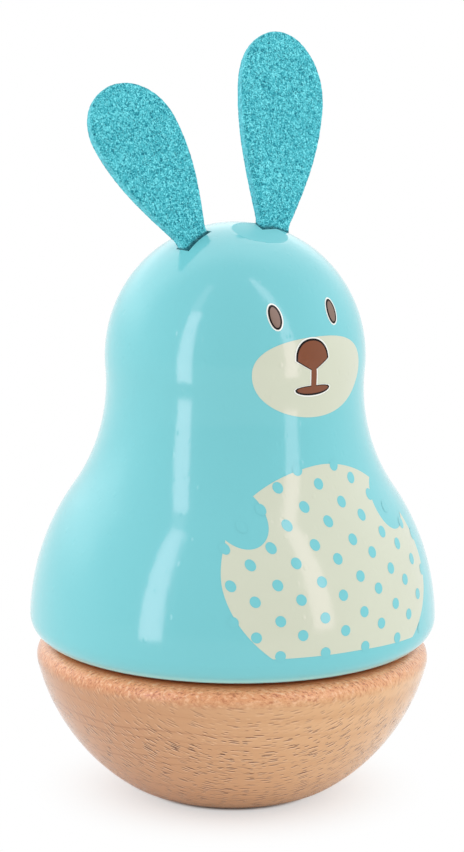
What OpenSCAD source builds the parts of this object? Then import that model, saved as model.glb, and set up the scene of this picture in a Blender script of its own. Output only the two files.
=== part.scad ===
// Wooden music box: a pear-shaped rabbit figure with felt ears turns on a bowl-shaped base.
// The figure is bored out from below and holds an 18-note musical movement on a plywood sound board.
// The base is the winding key: turning the figure clockwise winds the spring, and it turns back as it plays.
// The origin is the middle of the flat foot, the turning axis is Z and the face looks along -Y.
// Left and right are as seen from the front.

/* [Figure] */
// Widest radius of the pear-shaped body
body_r = 45; // [44:0.5:47]
// Radius of the belly's outline
belly_arc_r = 52; // [49:0.5:56]
// Height of the widest point above the table
belly_z = 38.9; // [38:0.1:42]
// Radius of the head
head_r = 28.6; // [27:0.2:30]
// Height of the head's centre above the table
head_z = 98.3; // [95.5:0.1:102]
// Height of the crown above the head's centre
crown_h = 29.2; // [27:0.2:32]
// Radius of the hollow outline between head and belly
neck_arc_r = 41; // [36:0.5:50]
// Rounding of the body's lower edge
body_edge_r = 5.4; // [4:0.2:5.8]
// Radius of the chamber bored for the movement
chamber_r = 33; // [32.5:0.1:34]
// Height of the chamber above the sound board
chamber_h = 24; // [22:0.5:27]
// Bevel round the chamber's roof
chamber_bevel = 4; // [2:0.5:5]

/* [Ears] */
// Length of the left ear above the head
left_ear_l = 37.5; // [34:0.5:42]
// Length of the right ear above the head
right_ear_l = 48; // [40:0.5:50]
// Width of an ear
ear_w = 22.2; // [18:0.2:23]
// Thickness of the felt
ear_t = 2.6; // [1.6:0.1:3.4]
// Width of the tongue that enters the head
ear_foot_w = 7.6; // [6:0.1:8.4]
// Share of the length at which an ear is widest
ear_widest = 0.69; // [0.6:0.01:0.78]
// Depth of the slot in the head
slot_d = 9; // [6:0.5:11]
// Clearance round the tongue in its slot
ear_fit = 0.25; // [0.15:0.05:0.4]
// Extra width of a slot in front of its ear
slot_play = 0.5; // [0:0.1:0.8]
// Distance of the left ear's root from the middle of the head
left_ear_x = 11.7; // [10:0.1:12.5]
// Distance of the right ear's root from the middle of the head
right_ear_x = 8.3; // [8:0.1:10]
// Distance of both roots behind the middle of the head
ear_y = -1.2; // [-2:0.1:2]
// Turn of the ears' row against the face, degrees
ear_row_turn = 6; // [0:1:8]
// Outward lean of the left ear, degrees
left_ear_out = 20; // [14:1:26]
// Backward lean of the left ear, degrees
left_ear_back = 26; // [15:1:30]
// Turn of the left ear about its own length, degrees
left_ear_turn = 14; // [0:1:18]
// Outward lean of the right ear, degrees
right_ear_out = 22; // [14:1:26]
// Backward lean of the right ear, degrees
right_ear_back = 28; // [15:1:32]
// Turn of the right ear about its own length, degrees
right_ear_turn = 0; // [-10:1:10]
// Distance of the flat landing's middle from the face's middle, towards the right ear
landing_x = 1.6; // [0:0.1:3]
// Distance of the landing's middle in front of the turning axis
landing_y = 6.6; // [5:0.1:8]
// Depth to which the landing is shaved off the round of the head
landing_d = 0.7; // [0.4:0.1:1]

/* [Base] */
// Radius of the bowl's round outside
bowl_r = 44.6; // [43.5:0.1:46]
// Radius of the flat foot
foot_r = 13.8; // [12:0.2:16]
// Soft rounding from the foot to the bowl's outside
foot_edge_r = 20; // [14:0.5:24]
// Height of the bowl's rim above the table
rim_z = 34.6; // [34:0.1:35.2]
// Rounding of the rim
rim_edge_r = 3.8; // [2:0.1:4.4]
// Gap between rim and figure
joint_gap = 0.5; // [0.4:0.1:1.2]
// Outer radius of the felt glide ring
ring_r = 27; // [22:0.5:30]
// Width of the glide ring
ring_w = 9; // [6:0.5:12]
// Depth of the ring's seat in the bowl
ring_seat = 2; // [1:0.1:2.5]
// Depth of the well in the bowl that takes the jam nut
well_d = 2.2; // [1.8:0.1:3]
// Radius of the threaded insert in the bowl
insert_r = 4; // [3.5:0.1:5]
// Depth of the threaded insert
insert_d = 13; // [10:0.5:16]
// Radius of the insert's flange
flange_r = 7.5; // [6:0.5:9]
// Thickness of the insert's flange
flange_t = 1.4; // [1:0.1:2]
// Width of the jam nut across its flats
nut_w = 7; // [6.5:0.1:8]
// Thickness of the jam nut
nut_t = 1.8; // [1.4:0.1:2]

/* [Sound board] */
// Thickness of the plywood sound board
board_t = 4; // [3:0.5:5]
// Radius of the sound board
board_r = 37.2; // [36.9:0.1:37.6]
// Number of screws that hold the sound board
board_screw_count = 4; // [3:1:6]
// Shank radius of these screws
board_screw_r = 0.9; // [0.7:0.05:1]
// Length of these screws
board_screw_l = 13; // [10:0.5:15]

/* [Winding] */
// Radius of the winding arbor
arbor_r = 2; // [1.8:0.05:2.2]
// Outer radius of the spring barrel
barrel_r = 9.8; // [9:0.1:10]
// Height of the spring barrel
barrel_h = 8.5; // [7.5:0.1:9]
// Sheet thickness of the spring barrel
barrel_wall = 0.5; // [0.4:0.05:0.7]
// Number of turns of the mainspring at rest
spring_turns = 7; // [5:1:8]
// Thickness of the spring strip
spring_t = 0.25; // [0.2:0.05:0.3]
// Teeth of the crown wheel
crown_teeth = 32; // [32:4:36]
// Teeth of the drive pinion
pinion_teeth = 8; // [8:1:9]
// Module of this pair
crown_module = 0.6; // [0.58:0.01:0.62]

/* [Cylinder and comb] */
// Number of notes
notes = 18; // [12:1:18]
// Distance between notes
note_pitch = 0.6; // [0.5:0.02:0.62]
// Radius of the pinned cylinder
drum_r = 5.8; // [5.4:0.1:6]
// Height of a pin
pin_h = 0.7; // [0.5:0.05:0.8]
// Radius of a pin
pin_r = 0.14; // [0.1:0.01:0.16]
// Radius of the cylinder's axle
axle_r = 1; // [0.8:0.05:1.1]
// Thickness of the comb
comb_t = 0.9; // [0.7:0.05:1.2]
// Thickness of a comb tooth
tooth_t = 0.4; // [0.3:0.05:0.5]
// Length of the longest tooth
long_tooth = 7.6; // [6.5:0.1:8]
// Length of the shortest tooth
short_tooth = 5; // [4:0.1:6]

/* [Governor] */
// Teeth of the gear on the cylinder
cylinder_teeth = 26; // [24:1:28]
// Teeth of the governor's pinion
governor_pinion_teeth = 8; // [8:1:9]
// Module of this pair
governor_module = 0.4; // [0.38:0.01:0.42]
// Teeth of the worm wheel
worm_wheel_teeth = 24; // [20:1:24]
// Module of worm and worm wheel
worm_module = 0.35; // [0.33:0.01:0.36]
// Mean radius of the worm
worm_r = 1; // [0.9:0.05:1.1]
// Depth of the worm's thread on each side of its mean radius
worm_depth = 0.3; // [0.2:0.02:0.32]
// Radius of the air-brake fan
fan_r = 3.5; // [2.8:0.1:3.6]
// Height of the fan's vanes
fan_h = 3.2; // [2.5:0.1:3.4]
// Thickness of a vane
vane_t = 0.3; // [0.2:0.05:0.5]

/* [Frame] */
// Thickness of the bedplate
bed_t = 2; // [1.6:0.1:2.6]
// Thickness of the bearing posts
post_t = 0.8; // [0.6:0.05:1]
// Thickness of the end bracket
bracket_t = 1; // [0.8:0.05:1.2]
// Clearance of a fixed fit
fit = 0.04; // [0.02:0.01:0.08]
// Running clearance of a shaft in its bearing
run = 0.06; // [0.03:0.01:0.1]
// Side gap between neighbouring moving pieces
side_gap = 0.4; // [0.3:0.05:0.5]

/* [Hidden] */
$fn = 64;

// Heights of the stack, from the table up
bowl_z = foot_edge_r + sqrt(pow(bowl_r - foot_edge_r, 2) - foot_r * foot_r);
insert_z = rim_z - well_d;
body_z = rim_z + joint_gap;
bed_z = body_z + board_t;
deck_z = bed_z + bed_t;
barrel_z = deck_z + barrel_h;
wheel_z = barrel_z + side_gap;
wheel_t = 1.1;
crown_z = wheel_z + wheel_t;

// Thin end gap between pieces on one shaft
shim = 0.2;

// Gear proportions, in modules, and the share of the pitch that a tooth fills
addendum = 0.8;
dedendum = 1.15;
wheel_share = 0.42;
leaf_share = 0.36;
tip_share = 0.5;

// Crown wheel and drive pinion
crown_r = crown_module * crown_teeth / 2;
pinion_r = crown_module * pinion_teeth / 2;
crown_face = 1.6;
crown_out_r = crown_r + crown_face / 2;
crown_tooth_h = 2 * addendum * crown_module + shim;
axis_z = crown_z + crown_tooth_h - addendum * crown_module + pinion_r;

// Stations along the cylinder's axle
post_x = crown_out_r + side_gap;
drum_x = post_x + post_t + side_gap;
drum_margin = 0.3;
drum_l = notes * note_pitch + 2 * drum_margin;
function note_x(i) = drum_x + drum_margin + (i + 0.5) * note_pitch;
gear_t = 1;
gear_x = drum_x + drum_l + shim;
worm_wheel_x = gear_x + gear_t + side_gap;
worm_wheel_t = 0.8;
bracket_x = worm_wheel_x + worm_wheel_t + side_gap;
axle_x = crown_r - crown_face / 2 - shim;
axle_end_x = bracket_x + bracket_t;
pin_tip_r = drum_r + pin_h;

// Governor: the compound gear runs on a stud beside the cylinder, the worm stands upright beyond it
governor_dip = 20;
governor_dist = governor_module * (cylinder_teeth + governor_pinion_teeth) / 2;
governor_y = governor_dist * cos(governor_dip);
governor_z = axis_z - governor_dist * sin(governor_dip);
worm_wheel_r = worm_module * worm_wheel_teeth / 2;
worm_lead = PI * worm_module;
worm_x = worm_wheel_x + worm_wheel_t / 2;
worm_y = governor_y + worm_wheel_r + worm_r;
worm_turns = 5;
worm_l = worm_turns * worm_lead;
spindle_r = 0.6;
pivot_r = 0.35;
pivot_l = 0.7;
stud_r = 0.6;
frame_foot_t = 1.2;
foot_z = deck_z + frame_foot_t;
arm_z = governor_z + worm_wheel_r + 1.8;
arm_t = 1.2;
fan_z = foot_z + 0.9;
column_y = worm_y + fan_r + side_gap;
column_t = 1.4;
frame_half_w = 1.6;

// Bedplate outline and the comb's place on it
bed_r = chamber_r - 1;
bed_back_x = -barrel_r - 3.8;
bed_front_x = axle_end_x + 1;
bed_side_y = column_y + column_t + 1;
comb_tip_y = pin_tip_r + 0.15;
comb_root_y = comb_tip_y + long_tooth;
comb_bar_w = 3;
comb_back_y = comb_root_y + comb_bar_w;

// Fasteners
screw_r = 0.8;
screw_head_r = 1.4;
screw_head_h = 0.9;
bed_screw_x = 10.5;
bed_screw_y = 12.5;
bed_screw_l = bed_t + board_t - 1;
bracket_foot_l = 5;
lug_r = barrel_r + 1.5;
rivet_r = 0.6;
lug_t = 0.6;
lug_w = 3;

// Winding arbor and its fittings
bush_r = 3.6;
bush_flange_t = 0.6;
core_r = 2.9;
core_z = deck_z + bush_flange_t + 0.1;
core_top_z = barrel_z - barrel_wall - shim;
click_z = crown_z;
click_t = 0.4;
click_square = 2.6;
clip_z = click_z + click_t;
clip_t = 0.5;
clip_neck_r = 1;
ratchet_r = 5.6;
ratchet_holes = 12;
ratchet_hole_r = 0.6;

// Sound board seat
rebate_r = board_r + shim;
roof_z = bed_z + chamber_h;
board_screw_ring_r = (chamber_r + board_r) / 2 + 0.4;
board_screw_head_r = 1.7;

paint = [0.54, 0.83, 0.86];
felt = [0.34, 0.74, 0.79];
beech = [0.83, 0.65, 0.49];
plywood = [0.86, 0.75, 0.58];
wool = [0.45, 0.30, 0.22];
brass = [0.80, 0.66, 0.36];
steel = [0.72, 0.73, 0.75];
zinc = [0.62, 0.63, 0.64];
blue_steel = [0.35, 0.38, 0.45];
nylon = [0.93, 0.92, 0.88];

// Points of an arc, without its first point
function arc(c, r, a0, a1, n) = [
    for (i = [1:n]) let (a = a0 + (a1 - a0) * i / n) [c.x + r * cos(a), c.y + r * sin(a)]
];

// Centre that lies da from a and db from b, on the right of the way from a to b
function meeting(a, da, b, db) = let (
    d = norm(b - a),
    u = (b - a) / d,
    s = (d * d + da * da - db * db) / (2 * d),
    h = sqrt(da * da - s * s)
) a + s * u + h * [u.y, -u.x];

function turn_to(a, b) = atan2(b.y - a.y, b.x - a.x);

// Half outline of the figure: rounded edge, belly, hollow neck, head and a slightly tall crown
belly_c = [body_r - belly_arc_r, belly_z];
head_c = [0, head_z];
neck_c = meeting(belly_c, belly_arc_r + neck_arc_r, head_c, head_r + neck_arc_r);
edge_a = asin((body_z + body_edge_r - belly_z) / (belly_arc_r - body_edge_r));
edge_c = belly_c + (belly_arc_r - body_edge_r) * [cos(edge_a), sin(edge_a)];
belly_end_a = turn_to(belly_c, neck_c);
head_start_a = turn_to(head_c, neck_c);
body_outline = concat(
    [[0, body_z], [edge_c.x, body_z]],
    arc(edge_c, body_edge_r, -90, edge_a, 10),
    arc(belly_c, belly_arc_r, edge_a, belly_end_a, 18),
    arc(neck_c, neck_arc_r, 180 + belly_end_a, 180 + head_start_a, 16),
    arc(head_c, head_r, head_start_a, 0, 3),
    [for (a = [5:5:90]) [head_r * cos(a), head_z + crown_h * sin(a)]]
);

// Half outline of the bowl: flat foot with a soft edge, round outside and rounded rim
bowl_c = [0, bowl_z];
foot_c = [foot_r, foot_edge_r];
foot_a = turn_to(bowl_c, foot_c);
rim_a = asin((rim_z - rim_edge_r - bowl_z) / (bowl_r - rim_edge_r));
rim_c = [(bowl_r - rim_edge_r) * cos(rim_a), rim_z - rim_edge_r];
bowl_outline = concat(
    [[0, 0], [foot_r, 0]],
    arc(foot_c, foot_edge_r, -90, foot_a, 8),
    arc(bowl_c, bowl_r, foot_a, rim_a, 24),
    arc(rim_c, rim_edge_r, rim_a, 90, 8),
    [[0, rim_z]]
);

// An ear's side: it swells along a sine to the widest place, and the tip is half an ellipse
ear_neck = 1;
function ear_side(l) = let (
    blade_l = l - ear_neck,
    swell_l = ear_widest * blade_l
) concat(
    [for (a = [0:7.5:90]) [
        ear_foot_w / 2 + (ear_w - ear_foot_w) / 2 * sin(a),
        ear_neck + swell_l * a / 90
    ]],
    [for (a = [7.5:7.5:82.5]) [
        ear_w / 2 * cos(a),
        ear_neck + swell_l + (blade_l - swell_l) * sin(a)
    ]]
);

// Height of the head's surface at a place seen from above
function crown_at(x, y) = head_z + crown_h * sqrt(1 - (x * x + y * y) / (head_r * head_r));

module at_left_ear() {
    rotate(-ear_row_turn)
        translate([-left_ear_x, ear_y, crown_at(left_ear_x, ear_y)])
            rotate([-left_ear_back, -left_ear_out, 0])
                rotate(left_ear_turn)
                    children();
}

module at_right_ear() {
    rotate(-ear_row_turn)
        translate([right_ear_x, ear_y, crown_at(right_ear_x, ear_y)])
            rotate([-right_ear_back, right_ear_out, 0])
                rotate(right_ear_turn)
                    children();
}

module ear_blade(l) {
    side = ear_side(l);
    rotate([90, 0, 0])
        linear_extrude(ear_t, center = true)
            polygon(concat(
                [[-ear_foot_w / 2, -slot_d], [ear_foot_w / 2, -slot_d]],
                side,
                [[0, l]],
                [for (i = [len(side) - 1:-1:0]) [-side[i].x, side[i].y]]
            ));
}

module ear_slot() {
    translate([-ear_foot_w / 2 - ear_fit, -ear_t / 2 - ear_fit - slot_play, -slot_d])
        cube([ear_foot_w + 2 * ear_fit, ear_t + 2 * ear_fit + slot_play, 2 * slot_d]);
}

// Flat landing in front of the right slot: a plane shaves a round patch off the head, square to its surface
module ear_landing() {
    rise = crown_at(landing_x, landing_y);
    steep = pow(crown_h / head_r, 2) / (rise - head_z);
    front = atan(landing_y * steep);
    side = atan(landing_x * steep);
    cut_r = 12;
    translate([landing_x, -landing_y, rise])
        rotate([front, side, 0])
            translate([0, 0, -landing_d])
                cylinder(r = cut_r, h = 5 * landing_d);
}

// Plain gear outline with straight flanks: root, pitch line and narrowed tip on each side of a tooth
function gear_points(m, n, share) = let (
    r = m * n / 2,
    half = share * 180 / n,
    radii = [r - dedendum * m, r, r + addendum * m],
    halves = [half, half, half * tip_share]
) [
    for (i = [0:n - 1], k = [0:5]) let (
        j = k < 3 ? k : 5 - k,
        a = 360 * i / n + (k < 3 ? -halves[j] : halves[j])
    ) radii[j] * [cos(a), sin(a)]
];

module gear(m, n, share, t, bore_r, phase) {
    difference() {
        linear_extrude(t)
            rotate(phase)
                polygon(gear_points(m, n, share));
        translate([0, 0, -1])
            cylinder(r = bore_r, h = t + 2);
    }
}

// Puts an upright piece on a line along X at a side place and height
module along_x(x, y, z) {
    translate([x, y, z])
        rotate([0, 90, 0])
            children();
}

// Pan-head screw whose head rests on the ground plane and whose shank points down
module pan_screw(l) {
    cylinder(r = screw_head_r, h = screw_head_h);
    translate([0, 0, -l])
        cylinder(r = screw_r, h = l + screw_head_h / 2);
}

module screw_hole(depth) {
    translate([0, 0, -depth])
        cylinder(r = screw_r + fit, h = depth + 1);
}

module at_board_screws() {
    for (i = [0:board_screw_count - 1])
        rotate(45 + 360 * i / board_screw_count)
            translate([board_screw_ring_r, 0, body_z])
                children();
}

module at_bed_screws() {
    for (p = [[-bed_screw_x, -bed_screw_y], [-bed_screw_x, bed_screw_y], [drum_x + 4, governor_y + 1]])
        translate([p.x, p.y, deck_z])
            children();
}

module at_comb_screws() {
    for (s = [0.22, 0.78])
        translate([drum_x + s * drum_l, comb_bar_w / 2 - comb_back_y, axis_z])
            children();
}

module at_bracket_screws() {
    for (y = [-2.6, 3.2])
        translate([bracket_x - bracket_foot_l / 2, y, foot_z])
            children();
}

module at_governor_screws() {
    translate([worm_x - frame_half_w - 2.4, column_y - 1.2, foot_z])
        children();
}

module at_rivets() {
    for (a = [90, 180, 270])
        rotate(a)
            translate([lug_r, 0, deck_z + lug_t])
                children();
}

// Solid turned beech, with the glide ring's seat, the nut's well and the hole for the threaded insert
module base_bowl() {
    color(beech)
        difference() {
            rotate_extrude()
                polygon(bowl_outline);
            translate([0, 0, rim_z - ring_seat])
                difference() {
                    cylinder(r = ring_r + fit, h = ring_seat + 1);
                    translate([0, 0, -1])
                        cylinder(r = ring_r - ring_w - fit, h = ring_seat + 3);
                }
            translate([0, 0, insert_z - flange_t])
                cylinder(r = flange_r + fit, h = flange_t + well_d + 1);
            translate([0, 0, insert_z - insert_d])
                cylinder(r = insert_r + fit, h = insert_d + 1);
        }
}

// Felt ring that the sound board glides on
module glide_ring() {
    color(wool)
        translate([0, 0, rim_z - ring_seat])
            difference() {
                cylinder(r = ring_r, h = ring_seat + joint_gap - run);
                translate([0, 0, -1])
                    cylinder(r = ring_r - ring_w, h = ring_seat + joint_gap + 2);
            }
}

// Flanged insert pressed into the bowl, threaded for the arbor
module key_insert() {
    color(brass)
        difference() {
            union() {
                translate([0, 0, insert_z - insert_d])
                    cylinder(r = insert_r, h = insert_d);
                translate([0, 0, insert_z - flange_t])
                    cylinder(r = flange_r, h = flange_t);
            }
            translate([0, 0, insert_z - insert_d - 1])
                cylinder(r = arbor_r + fit, h = insert_d + 2);
        }
}

module jam_nut() {
    color(steel)
        translate([0, 0, insert_z])
            difference() {
                cylinder(r = nut_w / 2 / cos(30), h = nut_t, $fn = 6);
                translate([0, 0, -1])
                    cylinder(r = arbor_r + fit, h = nut_t + 2);
            }
}

// Stepped steel shaft: threaded foot, journal, spring core, wheel seat, square and clip neck
module winding_arbor() {
    color(steel) {
        translate([0, 0, insert_z - insert_d + 1])
            cylinder(r = arbor_r, h = core_z - insert_z + insert_d - 1);
        translate([0, 0, core_z])
            cylinder(r = core_r, h = core_top_z - core_z);
        translate([0, 0, core_top_z])
            cylinder(r = arbor_r, h = click_z - core_top_z);
        translate([-click_square / 2, -click_square / 2, click_z])
            cube([click_square, click_square, click_t]);
        translate([0, 0, clip_z])
            cylinder(r = clip_neck_r, h = clip_t);
        translate([0, 0, clip_z + clip_t])
            cylinder(r = click_square / 2, h = clip_t);
    }
}

// Brass wheel with upright crown teeth, loose on the arbor, with a ring of ratchet holes
module crown_wheel() {
    pitch = 2 * crown_r * sin(180 / crown_teeth);
    root_w = pitch * wheel_share;
    tip_w = pitch * leaf_share * tip_share;
    color(brass) {
        translate([0, 0, wheel_z])
            difference() {
                cylinder(r = crown_out_r, h = wheel_t);
                translate([0, 0, -1])
                    cylinder(r = arbor_r + fit, h = wheel_t + 2);
                for (i = [0:ratchet_holes - 1])
                    rotate(360 * i / ratchet_holes)
                        translate([ratchet_r, 0, -1])
                            cylinder(r = ratchet_hole_r, h = wheel_t + 2);
            }
        for (i = [0:crown_teeth - 1])
            rotate(360 * i / crown_teeth)
                along_x(crown_r - crown_face / 2, 0, crown_z)
                    linear_extrude(crown_face - 0.1)
                        polygon([
                            [0.1, -root_w / 2],
                            [0.1, root_w / 2],
                            [-crown_tooth_h, tip_w / 2],
                            [-crown_tooth_h, -tip_w / 2]
                        ]);
    }
}

// Stamped click spring on the arbor's square: its two arms catch the ratchet holes one way only
module click_plate() {
    arm_w = 1.1;
    color(blue_steel)
        translate([0, 0, click_z])
            linear_extrude(click_t)
                difference() {
                    union() {
                        circle(r = core_r);
                        for (a = [0, 180])
                            rotate(a)
                                translate([0, core_r - arm_w]) {
                                    square([ratchet_r - 1, arm_w]);
                                    translate([ratchet_r - 1, arm_w / 2])
                                        circle(d = arm_w);
                                }
                    }
                    square(click_square + 2 * fit, center = true);
                }
}

module arbor_clip() {
    color(blue_steel)
        translate([0, 0, clip_z])
            linear_extrude(clip_t)
                difference() {
                    circle(r = core_r - 0.4);
                    circle(r = clip_neck_r + fit);
                    translate([0, -clip_neck_r - fit])
                        square([core_r, 2 * (clip_neck_r + fit)]);
                }
}

// Turned and lacquered hardwood, bored from below, slotted on top for the ears
module body() {
    color(paint)
        difference() {
            rotate_extrude()
                polygon(body_outline);
            rotate_extrude()
                polygon([
                    [0, body_z - 1],
                    [rebate_r, body_z - 1],
                    [rebate_r, bed_z],
                    [chamber_r, bed_z],
                    [chamber_r, roof_z - chamber_bevel],
                    [chamber_r - chamber_bevel, roof_z],
                    [0, roof_z]
                ]);
            at_board_screws()
                cylinder(r = board_screw_r + fit, h = board_screw_l + 1);
            at_left_ear()
                ear_slot();
            at_right_ear()
                ear_slot();
            ear_landing();
        }
}

module left_ear() {
    color(felt)
        at_left_ear()
            ear_blade(left_ear_l);
}

module right_ear() {
    color(felt)
        at_right_ear()
            ear_blade(right_ear_l);
}

// Plywood disc let into the figure's underside: it closes the chamber and sounds with the comb
module sound_board() {
    color(plywood)
        difference() {
            translate([0, 0, body_z])
                cylinder(r = board_r, h = board_t);
            translate([0, 0, body_z - 1])
                cylinder(r = arbor_r + 1, h = board_t + 2);
            at_board_screws() {
                translate([0, 0, -1])
                    cylinder(r = board_screw_r + fit, h = board_t + 2);
                cylinder(r1 = board_screw_head_r + fit, r2 = board_screw_r + fit, h = board_screw_head_r);
            }
            at_bed_screws()
                screw_hole(bed_screw_l + fit);
        }
}

module board_screws() {
    color(steel)
        at_board_screws() {
            cylinder(r1 = board_screw_head_r, r2 = board_screw_r, h = board_screw_head_r);
            cylinder(r = board_screw_r, h = board_screw_l);
        }
}

// Die-cast bedplate with the inner bearing post and the comb's seat in one piece
module bedplate() {
    post_half_w = 2.4;
    seat_h = axis_z - comb_t - deck_z;
    color(zinc)
        difference() {
            union() {
                translate([0, 0, bed_z])
                    linear_extrude(bed_t)
                        intersection() {
                            translate([bed_back_x, -comb_back_y - 1])
                                square([bed_front_x - bed_back_x, comb_back_y + 1 + bed_side_y]);
                            circle(r = bed_r);
                        }
                translate([post_x, -post_half_w, deck_z])
                    cube([post_t, 2 * post_half_w, axis_z - deck_z]);
                along_x(post_x, 0, axis_z)
                    cylinder(r = post_half_w, h = post_t);
                translate([drum_x, -comb_back_y, deck_z])
                    cube([drum_l, comb_bar_w - 0.4, seat_h]);
            }
            translate([0, 0, bed_z - 1])
                cylinder(r = bush_r + fit, h = bed_t + 2);
            along_x(post_x - 1, 0, axis_z)
                cylinder(r = axle_r + run, h = post_t + 2);
            at_bed_screws()
                screw_hole(bed_t + 1);
            at_comb_screws()
                translate([0, 0, -comb_t])
                    screw_hole(seat_h / 2);
            at_bracket_screws()
                screw_hole(frame_foot_t + bed_t + 1);
            at_governor_screws()
                screw_hole(frame_foot_t + bed_t + 1);
            at_rivets()
                cylinder(r = rivet_r + fit, h = 4 * bed_t, center = true);
        }
}

module bedplate_screws() {
    color(steel)
        at_bed_screws()
            pan_screw(bed_screw_l);
}

// Flanged bronze bush that carries the arbor in the bedplate
module arbor_bush() {
    color(brass)
        difference() {
            union() {
                translate([0, 0, bed_z])
                    cylinder(r = bush_r, h = bed_t);
                translate([0, 0, deck_z])
                    cylinder(r = bush_r + 0.8, h = bush_flange_t);
            }
            translate([0, 0, bed_z - 1])
                cylinder(r = arbor_r + run, h = bed_t + bush_flange_t + 2);
        }
}

// Drawn steel can, open below, held by three riveted lugs
module spring_barrel() {
    color(steel)
        translate([0, 0, deck_z])
            difference() {
                union() {
                    cylinder(r = barrel_r, h = barrel_h);
                    for (a = [90, 180, 270])
                        rotate(a)
                            translate([barrel_r - 1, -lug_w / 2, 0])
                                cube([lug_r + lug_w / 2 - barrel_r + 1, lug_w, lug_t]);
                }
                translate([0, 0, -1])
                    cylinder(r = barrel_r - barrel_wall, h = barrel_h - barrel_wall + 1);
                cylinder(r = arbor_r + run, h = barrel_h + 1);
                translate([0, 0, -deck_z])
                    at_rivets()
                        cylinder(r = rivet_r + fit, h = 4 * lug_t, center = true);
            }
}

module barrel_rivets() {
    color(steel)
        at_rivets() {
            translate([0, 0, -lug_t - bed_t])
                cylinder(r = rivet_r, h = lug_t + bed_t);
            cylinder(r = 2 * rivet_r, h = rivet_r);
        }
}

// Run-down mainspring: a flat strip wound from the arbor's core out to the barrel's wall
module mainspring() {
    strip_h = core_top_z - core_z - 0.6;
    inner = core_r + 0.4;
    outer = barrel_r - barrel_wall - 0.4;
    points_per_turn = 30;
    count = spring_turns * points_per_turn;
    function coil_r(i) = inner + (outer - inner) * i / count;
    function coil_point(i, r) = r * [cos(360 * i / points_per_turn), sin(360 * i / points_per_turn)];
    color(blue_steel)
        translate([0, 0, core_z + 0.3])
            linear_extrude(strip_h)
                polygon(concat(
                    [for (i = [0:count]) coil_point(i, coil_r(i))],
                    [for (i = [count:-1:0]) coil_point(i, coil_r(i) - spring_t)]
                ));
}

// Steel comb: one tooth for each note, long in the bass and short in the treble
module comb() {
    tooth_w = 0.7 * note_pitch;
    root_step = (long_tooth - short_tooth) / (notes - 1);
    root_lap = 0.6;
    color(steel)
        difference() {
            union() {
                translate([0, 0, axis_z - comb_t])
                    linear_extrude(comb_t)
                        polygon([
                            [drum_x, -comb_back_y],
                            [drum_x + drum_l, -comb_back_y],
                            [drum_x + drum_l, -comb_tip_y - short_tooth],
                            [drum_x, -comb_root_y]
                        ]);
                translate([0, 0, axis_z - tooth_t])
                    linear_extrude(tooth_t)
                        for (i = [0:notes - 1])
                            let (l = long_tooth - i * root_step + root_lap)
                                translate([note_x(i) - tooth_w / 2, -comb_tip_y - l])
                                    square([tooth_w, l]);
            }
            at_comb_screws()
                screw_hole(comb_t + 1);
        }
}

module comb_screws() {
    color(brass)
        at_comb_screws()
            pan_screw(comb_t + (axis_z - comb_t - deck_z) / 2 - shim);
}

// Folded plate that carries the axle's far end and the governor's stud
module end_bracket() {
    cheek = 1.8;
    cheek_in = 0.6;
    boss_r = 2.2;
    low_y = -4.2;
    wide = governor_y + cheek - cheek_in - low_y;
    color(zinc)
        difference() {
            union() {
                along_x(bracket_x, 0, axis_z)
                    cylinder(r = boss_r, h = bracket_t);
                translate([bracket_x, low_y, deck_z])
                    cube([bracket_t, wide, governor_z - deck_z]);
                translate([bracket_x, -boss_r, governor_z - 1])
                    cube([bracket_t, 2 * boss_r, axis_z - governor_z + 1]);
                along_x(bracket_x, governor_y - cheek_in, governor_z)
                    cylinder(r = cheek, h = bracket_t);
                translate([bracket_x - bracket_foot_l, low_y, deck_z])
                    cube([bracket_foot_l + bracket_t, wide, frame_foot_t]);
            }
            along_x(bracket_x - 1, 0, axis_z)
                cylinder(r = axle_r + run, h = bracket_t + 2);
            along_x(bracket_x - 1, governor_y, governor_z)
                cylinder(r = stud_r + fit, h = bracket_t + 2);
            at_bracket_screws()
                screw_hole(frame_foot_t + 1);
        }
}

module bracket_screws() {
    color(steel)
        at_bracket_screws()
            pan_screw(frame_foot_t + bed_t);
}

module governor_stud() {
    stud_head_t = 0.4;
    stud_x = gear_x - stud_head_t - 0.1;
    color(steel)
        along_x(stud_x, governor_y, governor_z) {
            cylinder(r = stud_r, h = axle_end_x - stud_x);
            cylinder(r = 1.5 * stud_r, h = stud_head_t);
        }
}

// Upright frame with a foot and an arm that hold the worm's two pivots
module governor_frame() {
    tab_l = 4.6;
    tab_w = 3;
    reach = column_y + column_t - worm_y + frame_half_w;
    color(zinc)
        difference() {
            union() {
                translate([worm_x - frame_half_w, column_y, deck_z])
                    cube([2 * frame_half_w, column_t, arm_z + arm_t - deck_z]);
                translate([worm_x - frame_half_w, worm_y - frame_half_w, arm_z])
                    cube([2 * frame_half_w, reach, arm_t]);
                translate([worm_x - frame_half_w, worm_y - frame_half_w, deck_z])
                    cube([2 * frame_half_w, reach, frame_foot_t]);
                translate([worm_x - frame_half_w - tab_l, column_y - tab_w, deck_z])
                    cube([tab_l + 1, tab_w + column_t, frame_foot_t]);
            }
            translate([worm_x, worm_y, arm_z - 1])
                cylinder(r = pivot_r + run, h = arm_t + 2);
            translate([worm_x, worm_y, foot_z - pivot_l - 0.1])
                cylinder(r = pivot_r + run, h = 2);
            at_governor_screws()
                screw_hole(frame_foot_t + 1);
        }
}

module governor_screws() {
    color(steel)
        at_governor_screws()
            pan_screw(frame_foot_t + bed_t);
}

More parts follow.
